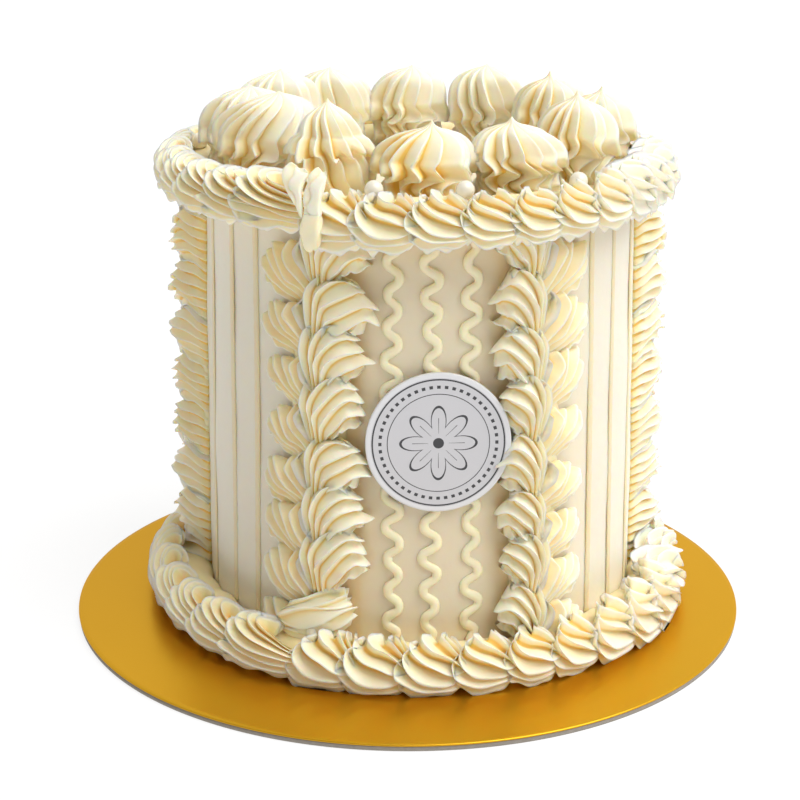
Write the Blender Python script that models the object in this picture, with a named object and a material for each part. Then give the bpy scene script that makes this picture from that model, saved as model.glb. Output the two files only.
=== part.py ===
# A tall round celebration cake, masked and piped in buttercream, on its round gold card.
# Metres, +Z up. The origin is the middle of the card's underside, and the front faces -Y.
# Angles go anticlockwise seen from above, in degrees, with the front at -90.

import math

import bmesh
import bpy
import numpy as np
from mathutils import Matrix, Vector

# Driving dimensions
BOARD_RADIUS = 0.127
BOARD_THICKNESS = 0.0024
BOARD_SIDES = 60
GAP = 0.0003
CAKE_CENTRE = Vector((0.0044, 0.0074, 0.0))  # the cake stands a little off the card's middle
WALL_RADIUS_FOOT = 0.0820
WALL_RADIUS_TOP = 0.0786
CAKE_TOP = 0.1630
TOP_EDGE_ROUND = 0.0030

# Six garlands of paired tufts run up the wall, with six bare panels between them
COLUMN_COUNT = 6
FIRST_COLUMN_ANGLE = -119.3
TUFT_PITCH = 0.0183
TUFT_LEVELS = 4  # rings of points in each tuft's height
COLUMN_FOOT = 0.0215
COLUMN_HEAD = 0.1515
COLUMN_RIGHT = 0.0210  # reach from the joint to the tips of the right tufts
COLUMN_LEFT = 0.0178
COLUMN_PROUD = 0.0108

# Lines piped on the panels: wavy ones at the front, straight ones on the panels beside it
WAVY_PLACES = (-8.0, 1.5, 11.0)  # degrees from the panel's middle
STRAIGHT_PLACES = (-13.4, -3.0, 10.6)
LINE_FOOT = 0.0160
WAVE_COUNT = 12
WAVE_PERIOD = 0.0115
WAVE_REACH = 0.0024
WAVE_STEPS = 2  # points in each wave, at its turns
LINE_HEAD = LINE_FOOT + WAVE_COUNT * WAVE_PERIOD
LINE_WIDTH = 0.0032
LINE_HEIGHT = 0.0015

# Shell borders, piped round the top edge and round the foot
TOP_SHELLS = 35
TOP_SHELL_START = -109.8
TOP_RING_RADIUS = 0.0866
TOP_RING_HEIGHT = 0.1628
TOP_SHELL_HALF_WIDTH = 0.0090
TOP_SHELL_HALF_HEIGHT = 0.0096
BASE_SHELLS = 34
BASE_SHELL_START = -111.9
BASE_RING_RADIUS = 0.0940
BASE_RING_HEIGHT = 0.0108
BASE_SHELL_HALF_WIDTH = 0.0118
BASE_SHELL_HALF_HEIGHT = 0.0096

# Star-tipped kisses stand in a ring on the top, with a pearl in front of each gap
# Each kiss: its angle, its distance from the cake's axis, its widest radius and its height
KISSES = (
    (-152.0, 0.0612, 0.0158, 0.0334),
    (-120.0, 0.0618, 0.0128, 0.0342),
    (-89.0, 0.0614, 0.0160, 0.0280),
    (-59.0, 0.0616, 0.0152, 0.0281),
    (-29.5, 0.0620, 0.0140, 0.0339),
    (2.5, 0.0632, 0.0148, 0.0312),
    (34.0, 0.0618, 0.0146, 0.0330),
    (64.0, 0.0618, 0.0146, 0.0333),
    (94.0, 0.0618, 0.0148, 0.0322),
    (123.5, 0.0618, 0.0146, 0.0326),
    (152.5, 0.0618, 0.0144, 0.0345),
    (180.0, 0.0618, 0.0134, 0.0318),
)
KISS_CRESTS = 8
KISS_DEPTH = 0.16
# Girth of a kiss at shares of its height, from its foot up
KISS_STATIONS = ((0.0, 0.85), (0.34, 1.0), (0.62, 0.92), (0.85, 0.52))
PEARL_ANGLES = (-159.0, -129.0, -101.5, -80.0, -49.4, -17.0, 20.0, 50.0, 78.0, 108.0, 138.0, 168.0)
PEARL_RADIUS = 0.0030
PEARL_RING_RADIUS = 0.0818
PEARL_HEIGHT = 0.1700

# A plain round label stands against the front panel
LABEL_RADIUS = 0.0245
LABEL_THICKNESS = 0.0012
LABEL_SIDES = 36
LABEL_ANGLE = -86.2
LABEL_HEIGHT = 0.0871
LABEL_STAND_OFF = 0.0024  # its back from the wall, over the wavy lines
LABEL_CLEARANCE = 0.02  # depth cut clear in the garlands behind and before the label

BUTTERCREAM = (0.90, 0.79, 0.55)
PANEL_CREAM = (0.88, 0.81, 0.66)
GOLD_CARD = (0.72, 0.42, 0.08)
LABEL_GREY = (0.66, 0.66, 0.69)


def clear_scene():
    for obj in list(bpy.data.objects):
        bpy.data.objects.remove(obj)


def make_material(name, colour, roughness, metallic=0.0):
    material = bpy.data.materials.new(name)
    material.use_nodes = True
    shader = material.node_tree.nodes["Principled BSDF"]
    shader.inputs["Base Color"].default_value = (*colour, 1.0)
    shader.inputs["Roughness"].default_value = roughness
    shader.inputs["Metallic"].default_value = metallic
    return material


def uneven(index, salt):
    """A fixed, scattered value from -1 to 1, so that no two piped pieces are alike."""
    return math.sin(12.9898 * index + 78.233 * salt + 1.7 * index * salt)


def add_mesh(name, points, faces, material):
    mesh = bpy.data.meshes.new(name)
    mesh.from_pydata([tuple(point) for point in points], [], faces)
    work = bmesh.new()
    work.from_mesh(mesh)
    bmesh.ops.recalc_face_normals(work, faces=work.faces)
    work.to_mesh(mesh)
    work.free()
    mesh.shade_smooth()
    mesh.set_sharp_from_angle(angle=math.radians(40))
    mesh.materials.append(material)
    obj = bpy.data.objects.new(name, mesh)
    bpy.context.scene.collection.objects.link(obj)
    return obj


def add_skin(name, rings, start_pole, end_pole, material):
    """A closed skin over rings of points, each ring as long as the others, with a pole at both ends."""
    stations, around = len(rings), len(rings[0])
    points = [start_pole] + [point for ring in rings for point in ring] + [end_pole]
    last = len(points) - 1
    faces = []
    for i in range(around):
        j = (i + 1) % around
        faces.append((0, 1 + j, 1 + i))
        faces.append((last, last - around + i, last - around + j))
        for k in range(stations - 1):
            low, high = 1 + k * around, 1 + (k + 1) * around
            faces.append((low + i, low + j, high + j, high + i))
    return add_mesh(name, points, faces, material)


def add_loop(name, rings, material):
    """A closed rope: rings of points that follow each other round and meet again."""
    stations, around = len(rings), len(rings[0])
    faces = []
    for k in range(stations):
        low, high = k * around, (k + 1) % stations * around
        for i in range(around):
            j = (i + 1) % around
            faces.append((low + i, low + j, high + j, high + i))
    return add_mesh(name, [point for ring in rings for point in ring], faces, material)


def star(angles, crests, depth):
    """Radius share of a star-nozzle section: sharp crests, round valleys."""
    return 1.0 - depth * np.abs(np.sin(crests * angles / 2))


def wall_radius(height):
    """The wall leans in a little from the foot to the top."""
    share = (height - BOARD_THICKNESS) / (CAKE_TOP - BOARD_THICKNESS)
    return WALL_RADIUS_FOOT + (WALL_RADIUS_TOP - WALL_RADIUS_FOOT) * share


def on_cake(angle, radius, height):
    """World point at an angle in degrees and a radius round the cake's own axis."""
    turn = math.radians(angle)
    return CAKE_CENTRE + Vector((radius * math.cos(turn), radius * math.sin(turn), height))


def turned(name, profile, angles, material):
    """A solid turned round the cake's axis from (radius, height) points between its two poles."""
    rings = [[on_cake(angle, radius, height) for angle in angles] for radius, height in profile]
    return add_skin(name, rings, on_cake(0, 0, profile[0][1]), on_cake(0, 0, profile[-1][1]), material)


def combine(base, others, operation):
    """One Boolean of a collection of pieces on the base, applied, and the pieces then removed."""
    held = bpy.data.collections.new("pieces")
    bpy.context.scene.collection.children.link(held)
    for piece in others:
        bpy.context.scene.collection.objects.unlink(piece)
        held.objects.link(piece)
    modifier = base.modifiers.new("combine", "BOOLEAN")
    modifier.operation = operation
    modifier.operand_type = "COLLECTION"
    modifier.collection = held
    bpy.context.view_layer.update()
    graph = bpy.context.evaluated_depsgraph_get()
    combined = bpy.data.meshes.new_from_object(base.evaluated_get(graph))
    base.modifiers.clear()
    base.data = combined
    for piece in others:
        bpy.data.objects.remove(piece)
    bpy.data.collections.remove(held)
    return base


def body_profile(grown=0.0):
    """Foot, wall and rounded top edge of the masked cake, grown outwards by a clearance."""
    corner = CAKE_TOP - TOP_EDGE_ROUND
    inset = TOP_EDGE_ROUND * (1 - math.cos(math.pi / 4))
    return [
        (wall_radius(BOARD_THICKNESS) + grown, BOARD_THICKNESS + GAP - grown),
        (wall_radius(corner) + grown, corner),
        (wall_radius(corner) - inset + grown * 0.7, CAKE_TOP - inset + grown * 0.7),
        (wall_radius(corner) - TOP_EDGE_ROUND, CAKE_TOP + grown),
    ]


# Edges of the wall's facets in one column and panel, from the panel's middle: between the piped lines
FACET_EDGES = (-30.0, -23.2, -16.5, -4.75, 4.75, 16.5, 23.2)


def facet_angles():
    pitch = 360 / COLUMN_COUNT
    middles = [FIRST_COLUMN_ANGLE + pitch * (panel + 0.5) for panel in range(COLUMN_COUNT)]
    return [middle + edge for middle in middles for edge in FACET_EDGES]


def body_cutter():
    return turned("body_cutter", body_profile(GAP), facet_angles(), bpy.data.materials["buttercream"])


def slab_cutter(low, high):
    reach = BOARD_RADIUS * 1.2
    return turned("slab_cutter", [(reach, low), (reach, high)], range(0, 360, 15),
                  bpy.data.materials["buttercream"])


def line_point(angle, height, across, proud):
    """A point on the wall: across in metres along the wall, proud in metres out of it."""
    radius = wall_radius(height)
    return on_cake(angle + math.degrees(across / radius), radius + proud, height)


def piped_line(name, angle, reach, steps, material):
    """A thin piped line up the wall with a three-cornered section, swaying by reach at its turns."""
    rings = []
    for k in range(steps + 1):
        height = LINE_FOOT + (LINE_HEAD - LINE_FOOT) * k / steps
        sway = reach * math.cos(2 * math.pi * (height - LINE_FOOT) / WAVE_PERIOD)
        rings.append([
            line_point(angle, height, sway - LINE_WIDTH / 2, -LINE_HEIGHT / 2),
            line_point(angle, height, sway, LINE_HEIGHT),
            line_point(angle, height, sway + LINE_WIDTH / 2, -LINE_HEIGHT / 2),
        ])
    ends = [sum(ring, Vector()) / len(ring) for ring in (rings[0], rings[-1])]
    return add_skin(name, rings, ends[0], ends[1], material)


def make_body(material):
    """The masked cake with its piped lines: wavy panels and straight panels take turns."""
    body = turned("cake_body", body_profile(), facet_angles(), material)
    lines = []
    for panel in range(COLUMN_COUNT):
        middle = FIRST_COLUMN_ANGLE + 360 / COLUMN_COUNT * (panel + 0.5)
        wavy = panel % 2 == 0
        places, reach, steps = (WAVY_PLACES, WAVE_REACH, WAVE_COUNT * WAVE_STEPS) if wavy else (
            STRAIGHT_PLACES, 0.0, 1)
        mirror = -1 if math.cos(math.radians(middle)) < 0 else 1  # the left half mirrors the right
        for place in places:
            lines.append(piped_line("line", middle + mirror * place, reach, steps, material))
    return combine(body, lines, "UNION")


# One border shell from its head to its tail: (share of its length, girth, turn of its crests in degrees)
SHELL_STATIONS = ((0.0, 0.80, 0), (0.26, 1.0, 5), (0.62, 0.86, 12), (0.96, 0.60, 18))
SHELL_CRESTS = 5
SHELL_DEPTH = 0.17


def shell_ring(name, count, start, ring_radius, height, half_width, half_height, material):
    """A rope of fluted shells round the cake, each one swelling over the tail of the last."""
    turns = np.linspace(0, 2 * math.pi, 2 * SHELL_CRESTS, endpoint=False)
    spokes = star(turns, SHELL_CRESTS, SHELL_DEPTH)
    pitch = 360 / count
    rings = []
    for k in range(count):
        grow = 1 + 0.03 * uneven(k, 3)
        lean = 0.0005 * uneven(k, 8)
        for share, girth, twist in SHELL_STATIONS:
            angle = start + pitch * (k - 0.5 + share)
            rings.append([
                on_cake(angle,
                        ring_radius + lean + half_width * girth * grow * spoke * math.cos(turn),
                        height + half_height * girth * grow * spoke * math.sin(turn))
                for turn, spoke in zip(turns + math.pi / 2 - math.radians(twist), spokes)
            ])
    return add_loop(name, rings, material)


def make_kiss(index, material):
    """One kiss: a star section that swells from its foot, then draws up to a point."""
    angle, distance, radius, height = KISSES[index]
    foot = on_cake(angle, distance, CAKE_TOP + GAP)
    turns = np.linspace(0, 2 * math.pi, 2 * KISS_CRESTS, endpoint=False)
    spokes = star(turns, KISS_CRESTS, KISS_DEPTH)
    twist = uneven(index, 5)
    rings = []
    for share, girth in KISS_STATIONS:
        rings.append([
            foot + Vector((radius * girth * spoke * math.cos(turn + twist + 0.25 * share),
                           radius * girth * spoke * math.sin(turn + twist + 0.25 * share),
                           height * share))
            for turn, spoke in zip(turns, spokes)
        ])
    return add_skin(f"kiss_{index + 1:02d}", rings, foot, foot + Vector((0, 0, height)), material)


def make_pearl(name, angle, material):
    mesh = bpy.data.meshes.new(name)
    work = bmesh.new()
    bmesh.ops.create_uvsphere(work, u_segments=6, v_segments=4, radius=PEARL_RADIUS)
    work.to_mesh(mesh)
    work.free()
    mesh.shade_smooth()
    mesh.materials.append(material)
    pearl = bpy.data.objects.new(name, mesh)
    pearl.location = on_cake(angle, PEARL_RING_RADIUS, PEARL_HEIGHT)
    bpy.context.scene.collection.objects.link(pearl)
    return pearl


def seated(angle):
    """The angle of the nearest shell's head, which a pearl at this angle is pressed into."""
    pitch = 360 / TOP_SHELLS
    head = TOP_SHELL_START - 1.0
    return head + pitch * round((angle - head) / pitch)


def make_top_border(material):
    ring = shell_ring("top_border", TOP_SHELLS, TOP_SHELL_START, TOP_RING_RADIUS, TOP_RING_HEIGHT,
                      TOP_SHELL_HALF_WIDTH, TOP_SHELL_HALF_HEIGHT, material)
    pearls = [make_pearl(f"pearl_{k}", seated(angle), material) for k, angle in enumerate(PEARL_ANGLES)]
    combine(ring, pearls, "UNION")
    return combine(ring, [body_cutter()], "DIFFERENCE")


def make_base_border(material):
    ring = shell_ring("base_border", BASE_SHELLS, BASE_SHELL_START, BASE_RING_RADIUS, BASE_RING_HEIGHT,
                      BASE_SHELL_HALF_WIDTH, BASE_SHELL_HALF_HEIGHT, material)
    return combine(ring, [body_cutter(), slab_cutter(-0.01, BOARD_THICKNESS + GAP)], "DIFFERENCE")


# Across a garland from its left edge over the joint to its right edge: (share of the reach, share proud)
LEFT_TUFT_POINTS = ((1.0, -0.06), (0.86, 0.52), (0.46, 0.86))
RIGHT_TUFT_POINTS = ((0.44, 0.96), (0.85, 0.60), (1.0, -0.06))
JOINT_PROUD = 0.80
TUFT_CREASE = 0.58  # how far the cream draws in between two tufts, of its full swell
LEFT_TUFT_PHASE = 0.35  # the left tufts start this share of a pitch below the right ones
TUFT_RISE = 0.25  # the tufts climb outwards by this share of a pitch
GARLAND_BACK = 0.94  # the uncut garland reaches in to this share of the wall's radius


def tuft_swell(level, phase, climb):
    """A tuft's swell at a level: full in its middle, drawn in at the crease between two tufts."""
    share = (level - COLUMN_FOOT) / TUFT_PITCH + phase - TUFT_RISE * climb
    return TUFT_CREASE + (1 - TUFT_CREASE) * abs(math.sin(math.pi * share)) ** 0.7


def garland_ring(angle, level, grow):
    """One level of a garland: over both tufts, then back through the wall."""
    radius = wall_radius(level)
    ring = []
    for side, reach, points, phase in ((-1, COLUMN_LEFT, LEFT_TUFT_POINTS, LEFT_TUFT_PHASE),
                                       (1, COLUMN_RIGHT, RIGHT_TUFT_POINTS, 0.0)):
        for across, proud in points:
            swell = tuft_swell(level, phase, across)
            edge = 1 - 0.35 * across * (1 - swell)
            ring.append(on_cake(angle + side * math.degrees(reach * across * edge * grow / radius),
                                radius + COLUMN_PROUD * proud * swell, level))
        if side < 0:
            joint = COLUMN_PROUD * JOINT_PROUD * tuft_swell(level, 0.1, 0)
            ring.append(on_cake(angle, radius + joint, level))
    ring.append(on_cake(angle, radius * GARLAND_BACK, level))
    return ring


def label_plane():
    """The middle of the label's back, and the direction that its face looks."""
    facing = Vector((math.cos(math.radians(LABEL_ANGLE)), math.sin(math.radians(LABEL_ANGLE)), 0))
    back = CAKE_CENTRE + facing * (wall_radius(LABEL_HEIGHT) + LABEL_STAND_OFF)
    return back + Vector((0, 0, LABEL_HEIGHT)), facing


def make_disc(name, middle, facing, radius, thickness, segments, material):
    mesh = bpy.data.meshes.new(name)
    work = bmesh.new()
    bmesh.ops.create_cone(work, cap_ends=True, segments=segments, radius1=radius, radius2=radius,
                          depth=thickness)
    turn = facing.to_track_quat("Z", "Y").to_matrix().to_4x4()
    bmesh.ops.transform(work, matrix=Matrix.Translation(middle + facing * thickness / 2) @ turn,
                        verts=work.verts)
    work.to_mesh(mesh)
    work.free()
    mesh.shade_smooth()
    mesh.set_sharp_from_angle(angle=math.radians(40))
    mesh.materials.append(material)
    obj = bpy.data.objects.new(name, mesh)
    bpy.context.scene.collection.objects.link(obj)
    return obj


def make_columns(material):
    steps = round((COLUMN_HEAD - COLUMN_FOOT) / TUFT_PITCH * TUFT_LEVELS)
    for index in range(COLUMN_COUNT):
        angle = FIRST_COLUMN_ANGLE + 360 / COLUMN_COUNT * index
        rings = []
        for k in range(steps + 1):
            level = COLUMN_FOOT + (COLUMN_HEAD - COLUMN_FOOT) * k / steps
            tuft = k // TUFT_LEVELS
            rings.append(garland_ring(angle, level, 1 + 0.04 * uneven(tuft, index)))
        ends = [sum(ring, Vector()) / len(ring) for ring in (rings[0], rings[-1])]
        column = add_skin(f"column_{index + 1}", rings, ends[0], ends[1], material)
        back, facing = label_plane()
        clearance = make_disc("label_cutter", back - facing * GAP, facing, LABEL_RADIUS + GAP,
                              LABEL_CLEARANCE, LABEL_SIDES, material)
        combine(column, [body_cutter(), clearance], "DIFFERENCE")


def main():
    clear_scene()
    buttercream = make_material("buttercream", BUTTERCREAM, 0.5)
    panel_cream = make_material("panel_cream", PANEL_CREAM, 0.45)
    gold_card = make_material("gold_card", GOLD_CARD, 0.35, 0.9)
    label_grey = make_material("label_grey", LABEL_GREY, 0.5)
    make_disc("cake_board", Vector(), Vector((0, 0, 1)), BOARD_RADIUS, BOARD_THICKNESS,
              BOARD_SIDES, gold_card)
    make_body(panel_cream)
    for index in range(len(KISSES)):
        make_kiss(index, buttercream)
    make_top_border(buttercream)
    make_base_border(buttercream)
    make_columns(buttercream)
    back, facing = label_plane()
    make_disc("front_label", back, facing, LABEL_RADIUS, LABEL_THICKNESS, LABEL_SIDES, label_grey)


main()
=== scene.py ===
import math

import bpy
import numpy as np
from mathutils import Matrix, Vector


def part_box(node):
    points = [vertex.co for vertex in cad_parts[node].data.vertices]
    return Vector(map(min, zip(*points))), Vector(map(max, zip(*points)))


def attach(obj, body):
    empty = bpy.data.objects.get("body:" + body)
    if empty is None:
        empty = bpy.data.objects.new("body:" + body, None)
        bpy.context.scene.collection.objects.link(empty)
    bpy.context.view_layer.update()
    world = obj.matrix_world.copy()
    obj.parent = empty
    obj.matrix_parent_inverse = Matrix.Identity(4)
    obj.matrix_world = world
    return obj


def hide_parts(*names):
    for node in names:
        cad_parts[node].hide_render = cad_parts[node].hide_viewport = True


# Looks of a tall piped buttercream cake on its gold card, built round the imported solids.
# Metres, +Z up, the front faces -Y. Angles are in degrees, anticlockwise from above, the front at -90.

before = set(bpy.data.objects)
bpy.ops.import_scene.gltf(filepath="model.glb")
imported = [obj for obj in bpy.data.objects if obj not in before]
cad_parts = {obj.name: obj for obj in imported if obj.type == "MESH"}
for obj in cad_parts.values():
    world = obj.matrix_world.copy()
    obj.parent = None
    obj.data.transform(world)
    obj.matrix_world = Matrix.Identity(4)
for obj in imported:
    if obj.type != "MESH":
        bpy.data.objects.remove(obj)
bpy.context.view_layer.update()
print("frame loaded:", len(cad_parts), "nodes")

mm = 0.001

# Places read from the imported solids
boardLow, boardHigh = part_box("cake_board")
ringLow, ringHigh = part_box("top_border")
bodyLow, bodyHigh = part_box("cake_body")
cake = {
    "centre": np.array([(ringLow.x + ringHigh.x) / 2, (ringLow.y + ringHigh.y) / 2]),
    "top": bodyHigh.z,
    "cardTop": boardHigh.z,
    "cardRadius": (boardHigh.x - boardLow.x) / 2,
    "footRadius": 82.0 * mm,
    "headRadius": 78.6 * mm,
}
print("cake axis at", [round(float(v) * 1000, 2) for v in cake["centre"]], "mm")


# Scattered value from -1 to 1 for an index and a salt: the sine of a steep line
def uneven(index, salt):
    index = np.asarray(index, float)
    return np.sin(12.9898 * index + 78.233 * salt + 1.7 * index * salt)


# Smooth step from 0 to 1 as x runs from low to high: 3t^2 - 2t^3
def smooth(x, low, high):
    t = np.clip((x - low) / (high - low), 0, 1)
    return t * t * (3 - 2 * t)


# Radius of the spread wall at a height: a straight lean from foot to top
def wallRadius(height):
    share = (height - cake["cardTop"]) / (cake["top"] - cake["cardTop"])
    return cake["footRadius"] + (cake["headRadius"] - cake["footRadius"]) * share


# Point round the cake's axis: centre + radius * (cos angle, sin angle), at a height
def onCake(angle, radius, height):
    turn = np.radians(angle)
    x = cake["centre"][0] + radius * np.cos(turn)
    y = cake["centre"][1] + radius * np.sin(turn)
    return np.stack(np.broadcast_arrays(x, y, height), axis=-1)


# Smooth curve through control rows: Catmull-Rom, the sum of cubic weights times the four nearest rows
def throughPoints(rows, steps):
    rows = np.asarray(rows, float)
    padded = np.vstack([2 * rows[0] - rows[1], rows, 2 * rows[-1] - rows[-2]])
    place = np.linspace(0, len(rows) - 1, steps)
    k = np.minimum(place.astype(int), len(rows) - 2)
    t = (place - k)[:, None]
    a, b, c, d = padded[k], padded[k + 1], padded[k + 2], padded[k + 3]
    return 0.5 * (2 * b + (c - a) * t + (2 * a - 5 * b + 4 * c - d) * t ** 2
                  + (3 * b - a - 3 * c + d) * t ** 3)


# New object in the scene, at the origin
def addObject(name, data):
    piece = bpy.data.objects.new(name, data)
    bpy.context.scene.collection.objects.link(piece)
    return piece


# Mesh of closed skins: each piece is its rings of points, with a fan to a pole at both ends.
# grids is (pieces, rings, around, 3), poles is (pieces, 2, 3), tone is (pieces, rings, around).
def skinMesh(name, grids, poles, tone, material):
    pieces, rings, around = grids.shape[:3]
    perPiece = rings * around + 2
    points = np.concatenate([grids.reshape(pieces, -1, 3), poles], axis=1).reshape(-1, 3)
    ends = np.stack([tone[:, 0].mean(1), tone[:, -1].mean(1)], 1)
    tones = np.concatenate([tone.reshape(pieces, -1), ends], axis=1).reshape(-1)
    i = np.arange(around)
    j = (i + 1) % around
    low = (np.arange(rings - 1) * around)[:, None]
    quads = np.stack([low + i, low + j, low + around + j, low + around + i], -1).reshape(-1, 4)
    last = (rings - 1) * around
    start, end = rings * around, rings * around + 1
    tris = np.concatenate([np.stack([np.full(around, start), j, i], -1),
                           np.stack([np.full(around, end), last + i, last + j], -1)])
    shift = (np.arange(pieces) * perPiece)[:, None, None]
    quads = (quads[None] + shift).reshape(-1, 4)
    tris = (tris[None] + shift).reshape(-1, 3)
    mesh = bpy.data.meshes.new(name)
    mesh.vertices.add(len(points))
    mesh.vertices.foreach_set("co", points.astype(np.float32).ravel())
    mesh.loops.add(quads.size + tris.size)
    mesh.loops.foreach_set("vertex_index", np.concatenate([quads.ravel(), tris.ravel()]).astype(np.int32))
    mesh.polygons.add(len(quads) + len(tris))
    starts = np.concatenate([np.arange(len(quads)) * 4, quads.size + np.arange(len(tris)) * 3])
    mesh.polygons.foreach_set("loop_start", starts.astype(np.int32))
    mesh.update(calc_edges=True)
    mesh.validate()
    mesh.shade_smooth()
    # the "groove" attribute is the mask of painted highlight and painted shade
    groove = mesh.attributes.new("groove", "FLOAT", "POINT")
    groove.data.foreach_set("value", tones.astype(np.float32))
    mesh.materials.append(material)
    print(" ", name, len(quads) * 2 + len(tris), "triangles")
    return addObject(name, mesh)


# Places of the points between one crest and the next: close together at the crest, so that it stays crisp
crestSteps = np.array([0, 0.035, 0.09, 0.16, 0.27, 0.48, 0.72, 0.90])


# Places round a ring in crests: crest number + step
def crestPlaces(crests):
    return (np.arange(crests)[:, None] + crestSteps).ravel()


# Depth of a flute behind a crest, 0 to 1, a sawtooth: (t / drop)^0.8 down one flank, then
# ((1 - t) / (1 - drop))^climb up the other to the next crest
def flute(t, drop, climb):
    return np.where(t < drop, np.minimum(t / drop, 1) ** 0.8, ((1 - t) / (1 - drop)) ** climb)


# Widths of the painted highlight along a crest and of the painted golden shadow under it in a flute, as shares
# of the way to the next crest, and the painted golden shade of the valleys
fluteLook = {"white": 0.07, "gold": 0.085, "valley": 0.26}


# Colour mask of a flute, painted light: a painted highlight along the crest, cream on the blade, painted
# golden shade where it is deepest, as blades' shade * (1 - exp(-distance / white)) + valley shade * valley
# + strength * exp(-((t - drop) / gold)^2)
def fluteTone(t, valley, drop, strength, bladeShade):
    edge = 1 - np.exp(-np.minimum(t, 1 - t) / fluteLook["white"])
    line = np.exp(-((t - drop) / fluteLook["gold"]) ** 2)
    return bladeShade * edge + fluteLook["valley"] * valley + strength * line


# Value of each crest carried round the ring: a smooth blend of neighbouring crests' scattered values
def perCrest(seeds, tau, salt):
    crests = int(tau[-1]) + 1
    values = uneven(np.asarray(seeds, float)[:, None] * 7.3 + np.arange(crests) * 3.1, salt)
    k = tau.astype(int)
    t = tau % 1
    t = t * t * (3 - 2 * t)
    return values[:, k] * (1 - t) + values[:, (k + 1) % crests] * t


# Vectors brought to length 1
def unit(vectors):
    return vectors / np.linalg.norm(vectors, axis=-1, keepdims=True)


# Directions of a path's rings in local axes (along, out, up): side is the hint made square to the path,
# over = side x tangent
def ringFrame(path, hint):
    tangent = unit(np.gradient(path, axis=1))
    hint = np.asarray(hint, float)
    side = unit(hint - np.sum(hint * tangent, -1, keepdims=True) * tangent)
    return tangent, side, np.cross(side, tangent)


# Fluted skins piped along paths, tail to head. A ring's point = path + wide * share * cos(phi) * side
# + high * share * sin(phi) * over, with share = 1 - depth * flute, and cosine and sine raised to "boxy" to
# square the section off. At the head the valleys narrow, the crests run on into free tips, and the skin
# folds in to a cup.
def pipedSkins(path, wide, high, hint, spec, seeds):
    crests = spec["crests"]
    tau = crestPlaces(crests)
    t = tau % 1.0
    s = np.linspace(0, 1, path.shape[1])[None, :, None]
    tangent, side, over = ringFrame(path, hint)
    size, shiftRound, tipLength, sway = (perCrest(seeds, tau, salt)[:, None, :] for salt in (5, 9, 13, 17))
    phi = 2 * np.pi / crests * (tau + spec["uneven"] * 0.9 * shiftRound)
    phi = phi + spec["twist"] * s + spec["sway"] * np.sin(2 * np.pi * 1.3 * s + 3 * sway)
    atHead = smooth(s, spec["headFrom"], 1.0)
    valley = flute(t, spec["drop"], spec["climb"]) ** (1 + 0.8 * atHead)
    depth = spec["depth"] * (0.7 + 0.3 * smooth(s, 0, 0.3)) * (1 + spec["headDepth"] * atHead)
    share = (1 - depth * valley) * (1 + spec["uneven"] * 0.45 * size)
    share = share + spec["flare"] * atHead * (1 - valley) * (1 + 0.6 * tipLength)
    ragged = np.sin(60 * s + 9 * size) * np.sin(23 * s + 7 * tipLength)
    share = share + spec["ragged"] * (1 - valley) * ragged
    lobe = 0.5 + 0.5 * np.cos(2 * np.pi * t)
    reach = spec["tip"] * mm * atHead * (lobe - 0.4) * (1 + 0.7 * tipLength)
    reach = reach - spec["headRound"] * mm * atHead * np.cos(phi) ** 2
    cos, sin = np.cos(phi), np.sin(phi)
    boxy = spec["boxy"]
    points = (path[:, :, None, :]
              + (wide[:, :, None] * share * np.sign(cos) * abs(cos) ** boxy)[..., None] * side[:, :, None, :]
              + (high[:, :, None] * share * np.sign(sin) * abs(sin) ** boxy)[..., None] * over[:, :, None, :]
              + reach[..., None] * tangent[:, :, None, :])
    tone = np.broadcast_to(fluteTone(t, valley, spec["drop"], spec["tone"], 0.2), points.shape[:3]).copy()

    middle = path[:, -1][:, None, :]
    rim = points[:, -1]
    bowl = (middle
            + (0.8 * wide[:, -1:] * cos[:, -1])[..., None] * side[:, -1][:, None, :]
            + (0.8 * high[:, -1:] * sin[:, -1])[..., None] * over[:, -1][:, None, :])
    inward = tangent[:, -1][:, None, :]
    cup = spec["cup"] * mm
    # rings of the cup, from its rim inwards: share of the rim, share of the radius, share of the depth, mask
    # of painted shade, darker deeper in the cup
    rings = ((0.6, 0.92, 0.06, 0.12), (0.2, 0.76, 0.40, 0.3), (0.0, 0.52, 0.78, 0.5), (0.0, 0.24, 0.96, 0.75))
    fold = [middle + (rim * a + bowl * (1 - a) - middle) * b - inward * cup * c for a, b, c, _ in rings]
    grids = np.concatenate([points] + [ring[:, None] for ring in fold], axis=1)
    tone = np.concatenate([tone] + [np.full_like(tone[:, -1:], value) for *_, value in rings], axis=1)
    poles = np.stack([path[:, 0], path[:, -1] - tangent[:, -1] * cup], 1)
    return grids, poles, tone


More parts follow.
